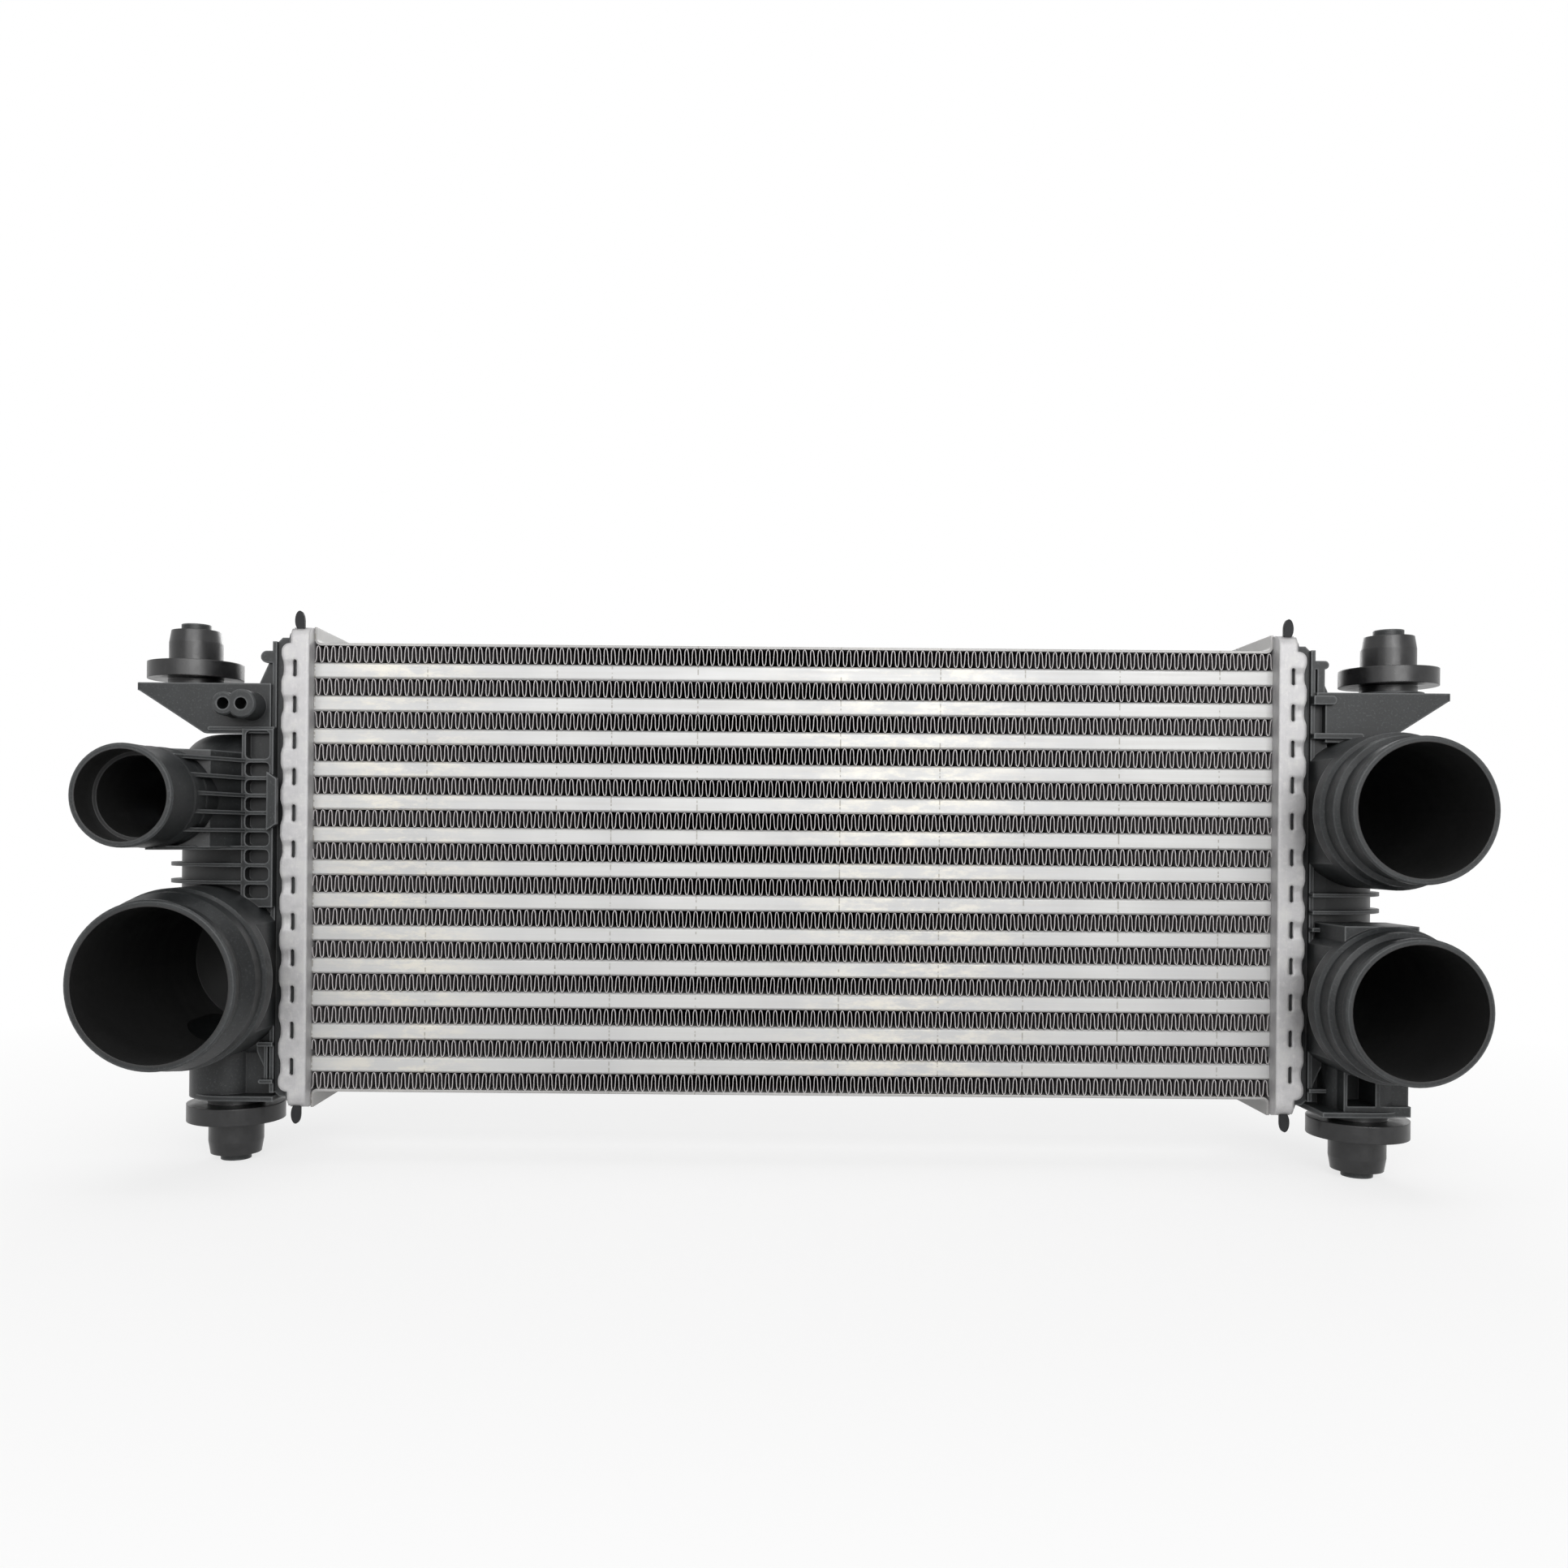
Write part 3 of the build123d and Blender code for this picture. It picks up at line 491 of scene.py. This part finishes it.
def louvre_bank(height, length):
    """The slanted louvres further in, as one folded strip whose folds stand upright."""
    deselect()
    bpy.ops.mesh.primitive_plane_add(size=1)
    bank = bpy.context.object
    for vertex in bank.data.vertices:
        along = 0.5 if vertex.co.x > 0 else -0.5
        vertex.co = (along * FIN_PITCH / 2 * MM, along * LOUVRE_SWING * MM, vertex.co.y * height * MM)
    bpy.ops.object.mode_set(mode="EDIT")
    pick_edges(bank, lambda a, b: min(a.x, b.x) > 0)
    back = (FIN_PITCH / 2 * MM, -LOUVRE_SWING * MM, 0)
    bpy.ops.mesh.extrude_edges_move(TRANSFORM_OT_translate={"value": back})
    bpy.ops.object.mode_set(mode="OBJECT")
    repeat(bank, int(length / FIN_PITCH))
    apply_all(bank)
    return centred(bank)


def copied(model, x, y, z):
    copy = model.copy()
    copy.data = model.data.copy()
    bpy.context.scene.collection.objects.link(copy)
    copy.data.transform(Matrix.Translation((x, y, z)))
    return copy


def wander(piece):
    """Lets the waves stray a little along the row, as folded foil does."""
    clouds = bpy.data.textures.new("foil_wander", "CLOUDS")
    clouds.noise_scale = STRAY_LENGTH * MM
    stray = piece.modifiers.new("stray", "DISPLACE")
    stray.texture = clouds
    stray.texture_coords = "GLOBAL"
    stray.direction = "X"
    stray.strength = STRAY * MM
    apply_all(piece)
    bpy.data.textures.remove(clouds)


def fin_rows():
    """A row of foil between each two tubes: a strip at each face of the core, with louvres behind it."""
    rng = random.Random(WAVE_START_SEED)
    rows = sorted(name for name in NODES if name.startswith("cooling_fin"))
    low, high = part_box(rows[0])
    height, length = (high[2] - low[2]) / MM, (high[0] - low[0]) / MM
    foils = [corrugated_strip(height, start) for start in WAVE_STARTS]
    bank = louvre_bank(height - FIN_SHEET, length - BANK_SHORTER)
    strip_off = CORE_HALF_DEPTH - STRIP_DEPTH / 2 * MM
    bank_off = CORE_HALF_DEPTH - (STRIP_DEPTH + LOUVRE_SWING) * MM
    for name in rows:
        low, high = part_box(name)
        x, z = (low[0] + high[0]) / 2, (low[2] + high[2]) / 2
        pieces = []
        for face in (-1, 1):
            pieces.append(copied(rng.choice(foils), x, CORE_MIDDLE + face * strip_off, z))
            pieces.append(copied(bank, x, CORE_MIDDLE + face * bank_off, z))
        deselect()
        for piece in pieces:
            piece.select_set(True)
        bpy.context.view_layer.objects.active = pieces[0]
        bpy.ops.object.join()
        row = bpy.context.object
        row.name = f"fin_foil_{name[-2:]}"
        wander(row)
        row.data.materials.clear()
        row.data.materials.append(FIN_METAL)
        bpy.ops.object.shade_smooth_by_angle(angle=math.radians(SMOOTH_BELOW))
        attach(row, "root")
        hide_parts(name)
    for model in (*foils, bank):
        bpy.data.objects.remove(model)


fin_rows()


# ---------------------------------------------------------------- floor, light and camera


LOW, HIGH = CAD_BOX
CENTRE = [(LOW[i] + HIGH[i]) / 2 for i in range(3)]

# Sizes and places are in metres.
FLOOR_SIZE = 8.0
FADE_START, FADE_END = 0.25, 0.75           # from its middle, where it turns from shaded to plain white
WHITE_SHARE = 0.72                          # of the floor under the object; the rest takes its shadow
FILL_STRENGTH = 0.27
LAMPS = (
    # name, place from the object's middle, width and height, watts
    ("key", (-0.35, -1.9, 0.8), (1.4, 1.0), 17.5),
    ("side", (0.45, -1.75, 0.6), (1.0, 1.0), 17.0),
    ("top", (0.0, -0.2, 1.6), (1.6, 1.0), 6.0),
    ("back", (0.2, 1.6, 0.8), (1.4, 1.0), 16.0),
)
CAMERA_PLACE = (0.243, -0.651, 0.1355)
CAMERA_TURN = (90, -0.5, 0)                 # degrees
LENS, SENSOR = 31.2, 36.0                   # mm
SHIFT = (0.024, 0.035)                      # in widths of the frame


def seen_or_mirrored(tree):
    """1 for rays from the camera, and for those that a shiny or clear surface sends on."""
    path = node(tree, "LightPath")
    either = node(tree, "Math", {0: path.outputs["Is Camera Ray"], 1: path.outputs["Is Glossy Ray"]},
                  operation="MAXIMUM")
    return node(tree, "Math", {0: either, 1: path.outputs["Is Transmission Ray"]}, operation="MAXIMUM")


def floor():
    """A plain white sweep that keeps a faint shadow near the object and fades to the white background."""
    deselect()
    bpy.ops.mesh.primitive_plane_add(size=FLOOR_SIZE, location=(CENTRE[0], CENTRE[1], LOW[2]))
    ground = bpy.context.object
    ground.name = "floor"
    made = bpy.data.materials.new("white_floor")
    made.use_nodes = True
    tree = made.node_tree
    tree.nodes.clear()
    at = node(tree, "TexCoord").outputs["Object"]
    far = node(tree, "VectorMath", {0: at}, operation="LENGTH").outputs["Value"]
    fade = node(tree, "MapRange", {"Value": far, "From Min": FADE_START, "From Max": FADE_END,
                                   "To Min": WHITE_SHARE, "To Max": 1.0})
    share = node(tree, "Math", {0: fade, 1: seen_or_mirrored(tree)}, operation="MULTIPLY")
    plain = node(tree, "BsdfDiffuse", {"Color": srgb("#f4f4f4")})
    glow = node(tree, "Emission", {"Color": srgb("#ffffff"), "Strength": 1.0})
    node(tree, "OutputMaterial", {"Surface": node(tree, "MixShader", {0: share, 1: plain, 2: glow})})
    ground.data.materials.append(made)


def surroundings():
    """White to the eye, and a soft even fill for the object."""
    world = bpy.data.worlds.new("studio")
    bpy.context.scene.world = world
    world.use_nodes = True
    tree = world.node_tree
    tree.nodes.clear()
    fill_light = node(tree, "Background", {"Color": srgb("#ffffff"), "Strength": FILL_STRENGTH})
    white = node(tree, "Background", {"Color": srgb("#ffffff"), "Strength": 1.0})
    both = node(tree, "MixShader", {0: seen_or_mirrored(tree), 1: fill_light, 2: white})
    node(tree, "OutputWorld", {"Surface": both})


def softbox(name, offset, size, power):
    """A soft lamp at a place told from the object's middle, and facing it."""
    lamp = bpy.data.lights.new(name, "AREA")
    lamp.shape = "RECTANGLE"
    lamp.size, lamp.size_y = size
    lamp.energy = power
    holder = bpy.data.objects.new(name, lamp)
    bpy.context.scene.collection.objects.link(holder)
    holder.location = [CENTRE[i] + offset[i] for i in range(3)]
    direction = Vector(CENTRE) - holder.location
    holder.rotation_euler = direction.to_track_quat("-Z", "Y").to_euler()


def camera():
    """Square to the core, a little left of its middle and just above it, tipped a touch so that its right
    side drops."""
    lens = bpy.data.cameras.new("view")
    lens.sensor_width = SENSOR
    lens.lens = LENS
    lens.shift_x, lens.shift_y = SHIFT
    holder = bpy.data.objects.new("view", lens)
    bpy.context.scene.collection.objects.link(holder)
    holder.location = CAMERA_PLACE
    holder.rotation_euler = [math.radians(turn) for turn in CAMERA_TURN]
    bpy.context.scene.camera = holder


floor()
surroundings()
for lamp_row in LAMPS:
    softbox(*lamp_row)
camera()
bpy.context.scene.view_settings.view_transform = "Standard"
